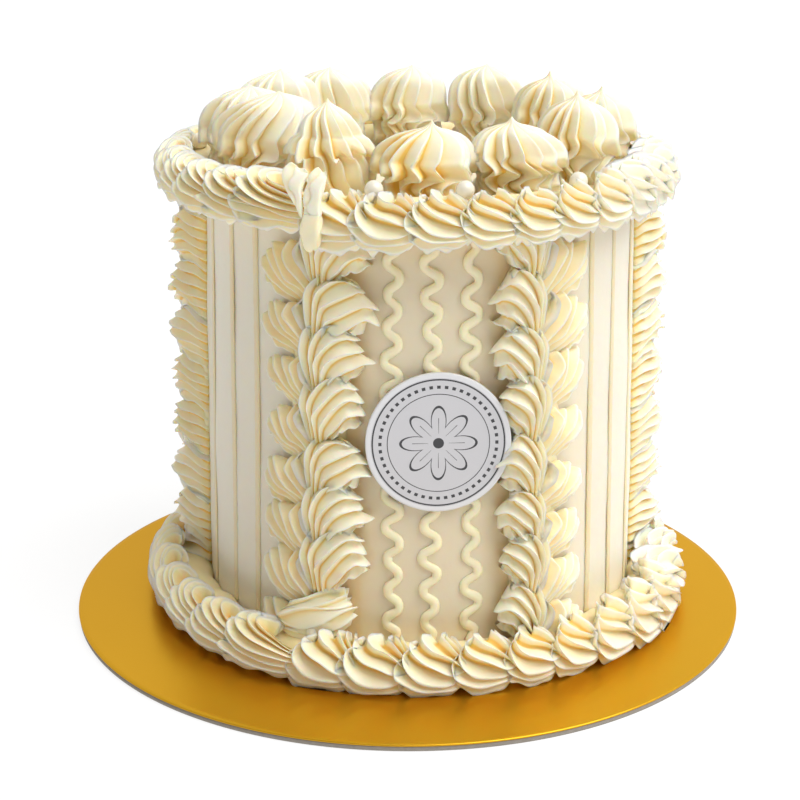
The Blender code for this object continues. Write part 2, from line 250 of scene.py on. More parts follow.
# Crest curves of each fan, as (fans, crests, stations, 3), and their plain form. A crest is a smooth curve
# through rows from tail to tip: (across, out, up) for a fan on the wall, (along, angle, distance) for one
# round a roll. Over its length s it strays by stray * scatter * s^1.5 and sways by
# sway * sin(2 pi 1.3 s + phase), its tip runs on by tip * scatter, and the last crests ripple by
# ripple * sin(2 pi 3.2 s + phase).
def fanLines(spec, seeds):
    curves = np.stack([throughPoints(rows, spec["stations"]) for rows in spec["crests"]])
    if spec["roll"]:
        turn = np.radians(curves[..., 1])
        reach = curves[..., 2] * (1 - 0.3 * smooth(curves[..., 0], 7, 16))  # the tails taper
        curves[..., 1], curves[..., 2] = reach * np.cos(turn), reach * np.sin(turn)
    curves = curves * mm
    crests, stations = curves.shape[:2]
    s = np.linspace(0, 1, stations)
    own = np.arange(crests)[None] * 3.1 + np.asarray(seeds, float)[:, None] * 7.3
    lines = np.repeat(curves[None], len(seeds), 0)
    along = unit(np.gradient(lines, axis=2))
    for axis, salt in ((0, 5), (2, 9)):
        lines[..., axis] += spec["stray"] * mm * uneven(own, salt)[..., None] * s ** 1.5
    phase = 2 * np.pi * 1.3 * s + own[..., None] * 0.3
    lines[..., 2] += spec["sway"] * mm * np.sin(phase) * smooth(s, 0, 0.3)
    hem = (np.arange(crests)[None, :, None] / (crests - 1)) ** 4 * smooth(s, 0.1, 0.4)
    lines[..., 2] += spec["ripple"] * mm * np.sin(2 * np.pi * 3.2 * s + own[..., None]) * hem
    lines[..., 1] += 0.5 * mm * uneven(own, 13)[..., None] * smooth(s, 0, 0.4)
    lines = lines + (spec["tip"] * mm * uneven(own, 17)[..., None] * smooth(s, 0.6, 1))[..., None] * along
    return curves, lines


# Fans of long crests. Between two crests the skin is their straight blend, lowered along the normal by
# depth * flute, and it stops short of their tips by notch * flute. Its back lies in the wall or the roll, and
# under the free tips it rises to the thickness. "eye" adds painted golden shade beside the first crest, and
# the tails, the back and the rims get painted shade.
def fanSkins(spec, seeds):
    curves, lines = fanLines(spec, seeds)
    crests, stations = curves.shape[:2]
    s = np.linspace(0, 1, stations)
    tau = np.append(crestPlaces(crests - 1), crests - 1)
    k = np.minimum(tau.astype(int), crests - 2)
    t = (tau - k)[None, :, None]
    front = lines[:, k] * (1 - t[..., None]) + lines[:, k + 1] * t[..., None]
    valley = flute(t, spec["drop"], spec["climb"])
    along = unit(np.gradient(front, axis=2))
    if spec["roll"]:
        outward = front * np.array([0.0, 1.0, 1.0])
        inside = 0.62 * np.linalg.norm(outward, axis=-1, keepdims=True)  # depth of the back in the roll
        outward = unit(outward)
    else:
        outward = np.broadcast_to(np.array(spec["normal"], float), front.shape)
        inside = np.sum(front * outward, -1, keepdims=True) + mm
    groove = (spec["depth"] * mm * valley * (0.35 + 0.65 * smooth(s, 0.05, 0.4)))[..., None]
    front = front - groove * outward
    inside = inside - groove
    front = front - (spec["notch"] * mm * valley ** 1.5 * smooth(s, 0.6, 1))[..., None] * along
    tone = np.broadcast_to(fluteTone(t, valley, spec["drop"], spec["tone"], spec["paintedShade"]), front.shape[:3])
    # painted shade: darker towards the tail, where it meets the wall or the roll, and golden in the eye by the
    # first crest
    tone = tone + 0.25 * (1 - smooth(s, 0, 0.22)) + spec["eye"] * np.exp(-(tau / 0.8) ** 2)[None, :, None]
    free = smooth(s, 0.55, 0.95)[:, None]
    thick = np.maximum(inside * (1 - free) + spec["thick"] * mm * free, 0.3 * mm)
    back = (front - outward * thick)[:, :, ::-2]
    edge = (front[:, :, -1:] + back[:, :, :1]) / 2 + 0.4 * spec["thick"] * mm * along[:, :, -1:]
    loops = np.concatenate([front, edge, back], axis=2)
    # painted shade on the tip's edge, and 0.6 on the back under the free tips
    tones = np.concatenate([tone, tone[:, :, -1:] * 0.5 + 0.1, np.full(back.shape[:3], 0.6)], axis=2)
    deep = np.concatenate([inside, inside[:, :, -1:], inside[:, :, ::-2]], axis=2)
    normal = np.concatenate([outward, outward[:, :, -1:], outward[:, :, ::-2]], axis=2)
    below = np.concatenate([0 * thick, thick[:, :, -1:] / 2, thick[:, :, ::-2]], axis=2)
    # both sides of the fan end in a rounded rim, which goes down to the back
    rims = []
    for ring, inner in ((0, 4), (-1, -5)):
        away = 0.5 * mm * unit(loops[:, ring] - loops[:, inner])
        sunk = deep[:, ring] - below[:, ring]
        lower = loops[:, ring] + away - normal[:, ring] * sunk * 0.5
        foot = loops[:, ring] + 0.2 * away - normal[:, ring] * sunk * 1.05
        rims.append((foot[:, None], lower[:, None]))
    grids = np.concatenate([*rims[0], loops, *rims[1][::-1]], axis=1)
    # painted shade on the rims, darkest at their foot by the wall
    paintedShade = np.full_like(tones[:, :1], 0.55)
    tones = np.concatenate([paintedShade, paintedShade * 0.6, tones, paintedShade * 0.6, paintedShade], axis=1)
    poles = grids[:, [0, -1]].mean(2)
    # the faces turn outwards whichever way the crests run
    acrossFan = curves[-1].mean(0) - curves[0].mean(0)
    alongFan = curves[:, -1].mean(0) - curves[:, 0].mean(0)
    facing = (0, 1, 0) if spec["roll"] else spec["normal"]
    turn = 1 if np.dot(np.cross(acrossFan, alongFan), facing) > 0 else -1
    return grids[:, :, ::turn], poles, tones[:, :, ::turn]


# Ring points of plain round skins: path + wide * cos(phi) * side + high * sin(phi) * over
def roundSkins(path, wide, high, hint, around, tone):
    _, side, over = ringFrame(path, hint)
    phi = 2 * np.pi * np.arange(around) / around
    grids = (path[:, :, None, :]
             + (wide[:, :, None] * np.cos(phi))[..., None] * side[:, :, None, :]
             + (high[:, :, None] * np.sin(phi))[..., None] * over[:, :, None, :])
    return grids, np.stack([path[:, 0], path[:, -1]], 1), np.full(grids.shape[:3], tone)


# Local (along, out, up) carried round the cake: angle = start + along / reference radius
def wrapRound(local, angle, radius, height, reference):
    shape = (-1,) + (1,) * (local.ndim - 2)
    turn = np.reshape(angle, shape) + np.degrees(local[..., 0] / reference)
    up = np.reshape(height, shape) + local[..., 2]
    base = radius(up) if callable(radius) else radius
    return onCake(turn, base + local[..., 1], up)


# Mesh of skins carried round the cake and held above the card
def wrappedMesh(name, skins, angle, radius, height, reference, material):
    grids, poles, tone = skins
    grids, poles = (wrapRound(points, angle, radius, height, reference) for points in (grids, poles))
    grids[..., 2] = np.maximum(grids[..., 2], cake["cardTop"])
    return skinMesh(name, grids, poles, tone, material)


# Fill sockets by name or number: a value that is a socket is linked, any other is set
def fill(tree, node, values):
    for key, value in values.items():
        if isinstance(value, bpy.types.NodeSocket):
            tree.links.new(value, node.inputs[key])
        else:
            node.inputs[key].default_value = value
    return node


# New node with its settings, such as its operation, and its sockets' values
def addNode(tree, kind, values, **settings):
    node = tree.nodes.new(kind)
    for key, value in settings.items():
        setattr(node, key, value)
    return fill(tree, node, values)


# Result of a Math node
def calc(tree, operation, *values, **settings):
    settings["operation"] = operation
    return addNode(tree, "ShaderNodeMath", dict(enumerate(values)), **settings).outputs[0]


# Blend of two colours: first * (1 - factor) + second * factor
def mixed(tree, factor, first, second):
    values = {"Factor": factor, "A": first, "B": second}
    return addNode(tree, "ShaderNodeMix", values, data_type="RGBA").outputs["Result"]


# Noise from 0 to 1 at a place, scale in waves a metre
def noise(tree, place, scale, detail=2):
    values = {"Vector": place, "Scale": scale, "Detail": detail}
    return addNode(tree, "ShaderNodeTexNoise", values).outputs["Fac"]


# Normal bent by a height over a distance in metres
def bumped(tree, height, strength, distance):
    values = {"Strength": strength, "Distance": distance, "Height": height}
    return addNode(tree, "ShaderNodeBump", values).outputs["Normal"]


# New material with its tree and its shader
def newMaterial(name):
    material = bpy.data.materials.new(name)
    material.use_nodes = True
    tree = material.node_tree
    return material, tree, tree.nodes["Principled BSDF"]


# Place on the piece, in its own metres
def objectPlace(tree):
    return addNode(tree, "ShaderNodeTexCoord", {}).outputs["Object"]


# Cream colour, painted light: from the painted highlight of a crest through the groove's cream to the painted
# golden shade of a deep crevice by the mask, with a faint mottle. Up to the turning point the colour is a
# blend of crest and groove, and past it of groove and deep.
def makeCreamTone():
    tree = bpy.data.node_groups.new("creamTone", "ShaderNodeTree")
    for name, kind in (("Mask", "Float"), ("Crest", "Color"), ("Groove", "Color"), ("Deep", "Color"),
                       ("Vector", "Vector")):
        tree.interface.new_socket(name, in_out="INPUT", socket_type="NodeSocket" + kind)
    for name, kind in (("Color", "Color"), ("Relief", "Float")):
        tree.interface.new_socket(name, in_out="OUTPUT", socket_type="NodeSocket" + kind)
    turningPoint = 0.55
    inlet = addNode(tree, "NodeGroupInput", {}).outputs
    mottle = noise(tree, inlet["Vector"], 260, 3)
    mask = calc(tree, "ADD", inlet["Mask"], calc(tree, "MULTIPLY_ADD", mottle, 0.16, -0.08), use_clamp=True)
    toGroove = addNode(tree, "ShaderNodeMapRange", {"Value": mask, "From Max": turningPoint}).outputs[0]
    toDeep = addNode(tree, "ShaderNodeMapRange", {"Value": mask, "From Min": turningPoint}).outputs[0]
    colour = mixed(tree, toDeep, mixed(tree, toGroove, inlet["Crest"], inlet["Groove"]), inlet["Deep"])
    addNode(tree, "NodeGroupOutput", {"Color": colour, "Relief": mottle})
    return tree


creamTone = makeCreamTone()

# On the piping the whiter crest colour is a painted highlight and the groove and deep colours painted shade of
# the flutes and crevices; on the wall, the ropes and the stripes the mask also gives their own cream
creams = {
    "buttercream": {
        "Crest": (0.985, 0.94, 0.82), "Groove": (0.96, 0.81, 0.48), "Deep": (0.93, 0.6, 0.13),
        "roughness": 0.42, "relief": 0.12,
    },
    "panelCream": {
        "Crest": (0.82, 0.77, 0.645), "Groove": (0.82, 0.705, 0.485), "Deep": (0.82, 0.56, 0.21),
        "roughness": 0.5, "relief": 0.35,
    },
}


# Cream: the tone group's colour, with its painted highlight and shade, by the "groove" attribute over a softly
# lit, slightly mottled skin
def makeCream(name):
    look = creams[name]
    material, tree, shader = newMaterial(name)
    mask = addNode(tree, "ShaderNodeAttribute", {}, attribute_name="groove").outputs["Fac"]
    colours = {key: (*look[key], 1) for key in ("Crest", "Groove", "Deep")}
    values = {"Mask": mask, "Vector": objectPlace(tree), **colours}
    tone = addNode(tree, "ShaderNodeGroup", values, node_tree=creamTone)
    fill(tree, shader, {
        "Base Color": tone.outputs["Color"],
        "Normal": bumped(tree, tone.outputs["Relief"], look["relief"], 0.0004),
        "Roughness": look["roughness"],
        "Subsurface Weight": 0.7, "Subsurface Radius": (1.0, 0.6, 0.3), "Subsurface Scale": 0.0014,
    })
    return material


buttercream, panelCream = makeCream("buttercream"), makeCream("panelCream")

gold = {"colour": (0.70, 0.375, 0.02), "tint": (1.0, 0.80, 0.50), "roughness": (0.24, 0.36)}


# Satin foil: fine grain in the normal, and cloudy patches that blend the roughness from low to high
def makeGoldFoil():
    material, tree, shader = newMaterial("goldFoil")
    place = objectPlace(tree)
    low, high = gold["roughness"]
    cloud = {"Value": noise(tree, place, 14), "To Min": low, "To Max": high}
    fill(tree, shader, {
        "Base Color": (*gold["colour"], 1),
        "Normal": bumped(tree, noise(tree, place, 900), 0.06, 0.0003),
        "Roughness": addNode(tree, "ShaderNodeMapRange", cloud).outputs[0],
        "Specular IOR Level": 0.2, "Specular Tint": (*gold["tint"], 1), "Metallic": 0.8,
    })
    return material


goldFoil = makeGoldFoil()


borderShell = {
    "roll": True, "stations": 34, "drop": 0.2, "climb": 0.75, "stray": 0.7, "tip": 0.8,
    "notch": 1.6, "thick": 2.2, "sway": 0.45, "ripple": 0.9,
    # less painted shade on the lit right side
    "rightShadeFade": 0.45,  # how much of the gold is lost on the right
    # ring under the shells: distance from their centre line, half width, drift, swelling at a shell, mask of
    # painted shade in the gaps
    "core": {"out": -4.6, "half": 7.2, "drift": 0.4, "swell": 0.06, "tone": 0.55, "stations": 561},
    # depth, strength of the painted golden shade in the grooves, painted shade of the blades below the crests'
    # highlight, painted golden shade in the eye of the curl
    "finish": {"open": (3.7, 1.0, 0.24, 0.1), "petal": (3.5, 0.42, 0.04, 0), "curled": (3.4, 0.9, 0.28, 0.5)},
    # each crest from tail to head: along and distance from the ring's centre line in millimetres, and between
    # them the angle round it
    "shapes": {
        "open": (
            ((14.5, 70, 4.5), (11.5, 92, 8), (9.5, 118, 9), (10, 134, 8.6)),
            ((15.5, 29, 4.3), (13, 38, 7.7), (11, 67, 9.1), (8.8, 94, 9.6), (9.6, 112, 9.3)),
            ((15.5, 8, 4.8), (13, 12, 8.4), (12.4, 29, 9.6), (10.4, 49, 9.5),
             (7.8, 71, 9.9), (6.2, 88, 10), (7.4, 103, 9.7)),
            ((15.5, 4, 5.2), (13, 7, 8.6), (9.2, 31, 9.6), (6.2, 44, 9.7),
             (3, 55, 9.8), (0.7, 73, 10.1), (1, 88, 10.2), (3.4, 97, 9.7)),
            ((15.5, 1, 5.3), (13, 3, 8.6), (9, 2, 9.6), (4.3, 17, 10.1),
             (0.6, 28, 9.9), (-2, 44, 9.8), (-2.4, 63, 10.1), (0, 75, 10.1)),
            ((15.5, -3, 5.2), (12.7, -7, 8.6), (7.5, -16, 10), (0.5, -13, 10.3),
             (-3.3, 6, 10), (-5, 27, 9.8), (-4.6, 47, 9.8), (-2.6, 60, 9.7)),
            ((15.2, -8, 4.9), (11.9, -25, 9.7), (7.5, -28, 10.4), (1.5, -28, 10.8),
             (-2.8, -19, 10.6), (-5.8, -4, 9.8), (-6.4, 15, 9.1), (-5.2, 32, 9)),
            ((14.6, -16, 4.4), (11.5, -41, 9.2), (7, -44, 10.6), (2, -44, 11.2),
             (-2.6, -38, 10.7), (-5.6, -26, 9.8), (-6.4, -10, 8.9)),
            ((14, -45, 4.5), (10, -66, 8.3), (5, -70, 9.4), (0, -70, 9.4), (-3.6, -65, 8.6)),
        ),
        "petal": (
            ((14.5, 60, 4.5), (11, 78, 8), (7, 104, 9.4), (2.5, 124, 9.6), (-0.5, 128, 9.2)),
            ((15.5, 21, 4.4), (12, 36, 9.3), (8, 64, 9.8), (3, 96, 9.7), (-1, 99, 9.5)),
            ((15.5, 4, 5), (12.9, 4, 8.6), (8.8, 38, 9.5), (4.8, 63, 9.6), (0.2, 77, 9.6), (-2.4, 78, 9.8)),
            ((15.5, 1, 5.3), (13, -1, 8.6), (5.1, 16, 9.6), (-0.1, 34, 9.6), (-3.7, 50, 9.4),
             (-4.6, 62, 9.3)),
            ((15.5, -4, 5.2), (13.1, -12, 8.6), (8.3, -15, 9.5), (3.2, -7, 9.6),
             (-1.7, 7, 9.6), (-4.8, 27, 9.4), (-5.4, 39, 9.2)),
            ((15.3, -9, 4.9), (13.3, -19, 8.7), (9, -35, 9.8), (3, -40, 9.9),
             (-1.2, -30, 9.7), (-4.2, -12, 9.6), (-5.4, 9, 9.1)),
            ((14.6, -16, 4.4), (11.5, -48, 8.9), (7, -56, 9.9), (2, -55, 10), (-2, -46, 9.5),
             (-4.8, -31, 8.9)),
            ((14, -45, 4.5), (10, -68, 8.1), (5, -73, 9), (0, -73, 9), (-3.4, -65, 8.1)),
        ),
        "curled": (
            ((12, 40, 5), (8, 48, 6.4), (4, 56, 7.2), (0, 68, 7.4), (-2.5, 80, 6.8), (-1.5, 88, 6.4)),
            ((13, 30, 5.6), (8, 38, 7.8), (3, 50, 9.6), (-2.5, 62, 10.6),
             (-5.6, 78, 10.8), (-4, 94, 10.4), (0, 100, 9.8)),
            ((13.5, 22, 6), (8, 30, 8), (2, 40, 9.8), (-4, 52, 10.8),
             (-8.6, 70, 11.2), (-8.2, 92, 11), (-4, 106, 10.4), (0, 110, 9.6)),
            ((14, 14, 6.2), (8, 20, 8.2), (1, 29, 10), (-5.5, 40, 11),
             (-10.6, 58, 11.4), (-11.6, 80, 11.2), (-8.4, 98, 10.6), (-5, 104, 9.8)),
            ((14, 4, 6.2), (7, 9, 8.4), (0, 15, 10), (-6.5, 24, 11),
             (-11, 37, 11.4), (-12.6, 52, 11), (-11, 64, 10.4)),
            ((14, -8, 6), (6, -4, 8.6), (-1, 3, 10), (-8, 12, 11), (-12, 23, 11), (-13.6, 36, 10.6)),
            ((13.5, -22, 5.8), (6, -18, 8.4), (-2, -12, 9.8), (-9, -4, 10.6), (-13, 6, 10.6), (-14, 16, 10)),
            ((13, -38, 5.4), (6, -36, 7.8), (-2, -32, 9), (-9, -24, 9.8), (-13, -15, 9.6)),
            ((12, -56, 5), (5, -56, 6.6), (-4, -52, 7.4), (-10, -46, 7.6)),
        ),
    },
}


# Ring of piped shells wrapped round the cake, heads to the left. On the left and the right side the shells
# grow, swell and rise by smooth steps of -cos(angle) and cos(angle), by the ring's pairs of values, and on the
# right, where the light falls, the painted shade fades.
def shellBorder(name, indices, style, ring):
    finish = dict(zip(("depth", "tone", "paintedShade", "eye"), borderShell["finish"][style]))
    spec = {**borderShell, "crests": borderShell["shapes"][style], **finish}
    k = np.asarray(indices)
    angle = ring["start"] + 360 / ring["count"] * k
    onLeft = smooth(-np.cos(np.radians(angle)), 0.3, 0.5)
    onRight = smooth(np.cos(np.radians(angle)), 0.35, 0.8)
    pairs = (ring["grows"], ring["swells"], ring["rises"])
    grow, swell, rise = (left * onLeft + right * onRight for left, right in pairs)
    scale = ring["size"] * (1 + 0.06 * uneven(k, 3)) * (1 + grow)
    move = np.stack([0.7 * uneven(k, 8), swell, 0.6 * uneven(k, 4) + rise], -1) * mm
    grids, poles, tone = fanSkins(spec, k)
    grids = grids * scale[:, None, None, None] + move[:, None, None, :]
    poles = poles * scale[:, None, None] + move[:, None, :]
    # painted shade lessened on the right, where the light falls
    tone = tone * (1 - borderShell["rightShadeFade"] * onRight)[:, None, None]
    radius, height = ring["radius"] * mm, ring["height"] * mm
    return wrappedMesh(name, (grids, poles, tone), angle, radius, height, radius, buttercream)


# Ring under the shells, which closes the gap to the cake: a tube of oval section, bent round once. Its middle
# drifts by sines of the way round, and its section swells at each shell by 1 + swell * cos(count * angle).
def ringCore(name, ring):
    core = borderShell["core"]
    span = math.pi * ring["radius"]
    along = np.linspace(-span, span, core["stations"])
    lift, half = ring["core"]
    drift = core["drift"] * np.sin(along[:, None] * (0.16, 0.23))
    path = np.stack([along, core["out"] + drift[:, 0], lift + drift[:, 1]], -1)
    swell = (1 + core["swell"] * np.cos(ring["count"] * along / ring["radius"]))[None] * mm
    skins = roundSkins(path[None] * mm, half * swell, core["half"] * swell, (0, 0, 1), 24, core["tone"])
    radius, height = ring["radius"] * mm, ring["height"] * mm
    return wrappedMesh(name, skins, 0, radius, height, radius, buttercream)


# Piece on the cake's one body: it is attached to the "root" body, and the imported node it stands in for is
# hidden
def addPiece(piece, node):
    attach(piece, "root")
    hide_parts(node)


print("piping the borders")
borders = {
    "topBorder": {
        "node": "top_border", "count": 35, "start": -109.8, "radius": 86.6, "height": 162.6,
        "size": 1.0, "grows": (0.06, 0.10), "swells": (0, -3.4), "rises": (2.6, 3.0), "core": (0.5, 6.6),
        "runs": (("Front", 0, 7, "open"), ("Right", 7, 21, "petal"), ("Left", 21, 35, "curled")),
    },
    "baseBorder": {
        "node": "base_border", "count": 34, "start": -111.9, "radius": 93.0, "height": 10.2,
        "size": 1.1, "grows": (0, 0.14), "swells": (2.0, -1.5), "rises": (0, 0.8), "core": (-0.6, 5.6),
        "runs": (("Front", 0, 9, "open"), ("Right", 9, 21, "petal"), ("Left", 21, 34, "curled")),
    },
}
for name, ring in borders.items():
    addPiece(ringCore(name + "Core", ring), ring["node"])
    for part, first, last, style in ring["runs"]:
        addPiece(shellBorder(name + part, range(first, last), style, ring), ring["node"])


garland = {
    "roll": False,
    "eye": 0,
    "first": -119.3,  # angle of the first column, degrees
    "reference": 90.0,  # radius at which millimetres across are turned into degrees
    "stations": 30,
    "rows": 8,
    "pitch": 18.4,
    "boundary": 3.9,
    "narrow": 0.74,
    "ruffled": (3, 6),  # columns seen edge on
    "bulges": {6: 1.1},  # column and its height off the wall
    # the styles' colour masks are painted light: tone is a painted golden shadow under each crest, and the
    # blades are shaded below the crests' painted highlight
    # each crest from tail to tip: across, out, up from the tuft's foot, millimetres
    "bold": {
        "foot": 14.8, "drop": 0.3, "climb": 0.75, "depth": 4.4, "tone": 0.85, "stray": 1.2, "tip": 1.4,
        "notch": 4.4, "thick": 2.4, "sway": 0.65, "ripple": 0.5, "paintedShade": 0.07, "normal": (0, 1, 0),
        "crests": (
            ((5.6, 6, -3.6), (4.7, 8.4, 2.8), (4.2, 9.8, 8.7), (4.2, 9.8, 12.8), (5.7, 8.6, 17.2),
             (8.4, 6.8, 20.2)),
            ((6.7, 7, -3.4), (7.2, 9.6, 5.4), (7.6, 11.6, 11), (9, 11.8, 15.4), (12.6, 10.4, 19.6),
             (17, 8.6, 20.2), (19.8, 7.4, 18.4)),
            ((8.2, 7.2, -3.4), (9, 9.8, 3.8), (10, 12, 8.6), (13.2, 12.6, 12.4), (17.6, 11.4, 15.8),
             (21.4, 9.4, 16.8), (24.6, 7.6, 16.2)),
            ((9.8, 6.8, -3), (11.2, 9.4, 2.6), (13.2, 11.6, 6.2), (16.6, 12, 9.4), (20.6, 10.6, 11.8),
             (24, 8.6, 12.4), (27.6, 7, 11.8)),
            ((11.4, 5.8, -2.6), (14, 8.6, 0.8), (17.2, 10.4, 3.4), (20.6, 10, 6.2), (23.8, 8.2, 7.6),
             (27.4, 6.4, 7.4)),
            ((12.2, 4.4, -3.4), (15.4, 6.6, -1), (18.4, 7.6, 0.6), (21.4, 6.8, 2.4), (25, 5, 3.4)),
        ),
    },
    "feather": {
        "foot": 5.2, "drop": 0.2, "climb": 0.75, "depth": 4.0, "tone": 0.85, "stray": 0.8, "tip": 0.8,
        "notch": 3.0, "thick": 2.0, "sway": 0.5, "ripple": 0.6, "paintedShade": 0.38, "normal": (0, 1, 0),
        "crests": (
            ((5.4, 4, 4.6), (4.4, 8, 8.5), (2.8, 9.6, 11.7), (1.4, 9.6, 14.4), (0.6, 9, 17), (2.6, 7, 19.7)),
            ((4.6, 3.2, -1), (3.6, 6.6, 3.4), (0.6, 8.8, 8.6), (-2.2, 9, 12), (-3.8, 8.4, 15.1),
             (-2.6, 6.4, 18.4)),
            ((3.6, 3, -1.6), (0.9, 6, 3.6), (-2.7, 7.8, 6.9), (-5, 8, 10.4), (-7.2, 7.2, 13.8),
             (-9.6, 5.2, 17)),
            ((2, 2.6, -2), (-2.4, 5.2, 2.6), (-6.5, 6.8, 6.2), (-10.2, 6.8, 9.4), (-13.4, 5.8, 12.6),
             (-15.8, 3.8, 15.2)),
            ((0.2, 2, -2.4), (-5.2, 4.2, 1.4), (-10.5, 5.4, 4.6), (-14.8, 5, 7.2), (-17.4, 3.8, 9.2),
             (-18.6, 2.2, 11.4)),
            ((-3.8, 1.2, -2.8), (-9.4, 2.8, 0.2), (-13.6, 3.2, 2.6), (-16.8, 2.6, 5), (-18.4, 1.2, 7.4)),
        ),
    },
    # on the columns seen edge on, ruffles of level ribbons stand where the feathers lie: all ribbons go the
    # same way across and up, each from its own level and as far out as its row of "outs"
    "ruffle": {
        "foot": 3.0, "drop": 0.25, "climb": 0.7, "depth": 3.4, "tone": 0.9, "stray": 1.3, "tip": 0.7,
        "notch": 1.5, "thick": 2.4, "sway": 0.8, "ripple": 0.3, "paintedShade": 0.24, "normal": (-0.8, 0.6, 0),
        "across": (-9.5, -7.8, -4.8, -1.2, 2.4, 5.4), "rise": (0, 1.6, 3.2, 3.9, 3.6, 2.4),
        "levels": (15, 11.4, 7.8, 4.2, 0.6, -3),
        "outs": ((0.6, 3.3, 6.1, 8.3, 9.5, 9.8), (0.6, 4.1, 7.7, 10.5, 12, 12.4),
                 (0.6, 4.6, 8.5, 11.6, 13.3, 13.7), (0.6, 4.6, 8.6, 11.8, 13.4, 13.9),
                 (0.6, 4.2, 7.9, 10.8, 12.3, 12.7), (0.6, 3.4, 6.4, 8.7, 10, 10.3)),
    },
    "core": {"halfWidth": 11.0, "halfThick": 4.0, "shift": 5.0, "foot": 8.0, "head": 156.0},
}
ruffle = garland["ruffle"]
ruffle["crests"] = [[(x, y, level + up) for x, y, up in zip(ruffle["across"], outs, ruffle["rise"])]
                    for outs, level in zip(ruffle["outs"], ruffle["levels"])]


# Garland of one column: bold tufts towards the wavy panel over feathers towards the straight one, each
# fanning from its tail, and their backing. A tuft is scaled by 1 + 0.07 * scatter and turned by 6 degrees *
# scatter. Every other column is mirrored, with its bold tufts narrower past the boundary.
def column(number):
    spec, core = garland, garland["core"]
    angle = spec["first"] + 60 * (number - 1)
    reference = spec["reference"] * mm
    mirror = 1 - 2 * ((number + 1) % 2)
    narrow = 1.0 if mirror > 0 else spec["narrow"]
    boundary = spec["boundary"] * mm
    pieces = []
    low = "ruffle" if number in spec["ruffled"] else "feather"
    for name, style, salt in ((low + "s", low, 40), ("tufts", "bold", 0)):
        tuft = {**spec, **spec[style]}
        smeared = number == 1 and style == "bold"  # the smeared tuft takes the lowest one's place
        k = np.arange(1 if smeared else 0, spec["rows"])
        seeds = k + 10 * number + salt
        foot = (tuft["foot"] + spec["pitch"] * k + 0.7 * uneven(seeds, 11)) * mm
        grids, poles, tone = fanSkins(tuft, seeds)
        skins = []
        for points in (grids[:, :, ::mirror], poles):
            shape = (-1,) + (1,) * (points.ndim - 2)
            scale = 1 + 0.07 * uneven(seeds, 3).reshape(shape)
            lean = np.radians(6) * uneven(seeds, 6).reshape(shape)
            across, up = points[..., 0] * scale, points[..., 2] * scale
            x = across * np.cos(lean) - up * np.sin(lean)
            z = across * np.sin(lean) + up * np.cos(lean)
            out = points[..., 1] * spec["bulges"].get(number, 1)
            x = np.where(x > boundary, boundary + (x - boundary) * narrow, x) * mirror
            skins.append(np.stack([x, out, z], -1))
        pieces.append(wrappedMesh(name + str(number), (*skins, tone[:, :, ::mirror]), angle, wallRadius, foot,
                                  reference, buttercream))
    up = np.linspace(core["foot"], core["head"], 60)
    path = np.stack([mirror * core["shift"] * narrow + 0.8 * np.sin(up * 0.3), 0 * up, up], -1)[None] * mm
    ends = np.clip((up - core["foot"]) / (core["head"] - core["foot"]), 0.02, 0.98)
    ends = np.sin(np.pi * ends)[None] ** 0.2  # rounds both ends
    # mask 0.5: painted shade for the gaps behind the tufts
    skins = roundSkins(path, core["halfThick"] * mm * ends, core["halfWidth"] * mm * ends, (0, 1, 0), 20, 0.5)
    name = "garlandCore" + str(number)
    pieces.append(wrappedMesh(name, skins, angle, wallRadius, 0, reference, buttercream))
    return pieces


print("piping the garlands")
for number in range(1, 7):
    for piece in column(number):
        addPiece(piece, "column_" + str(number))


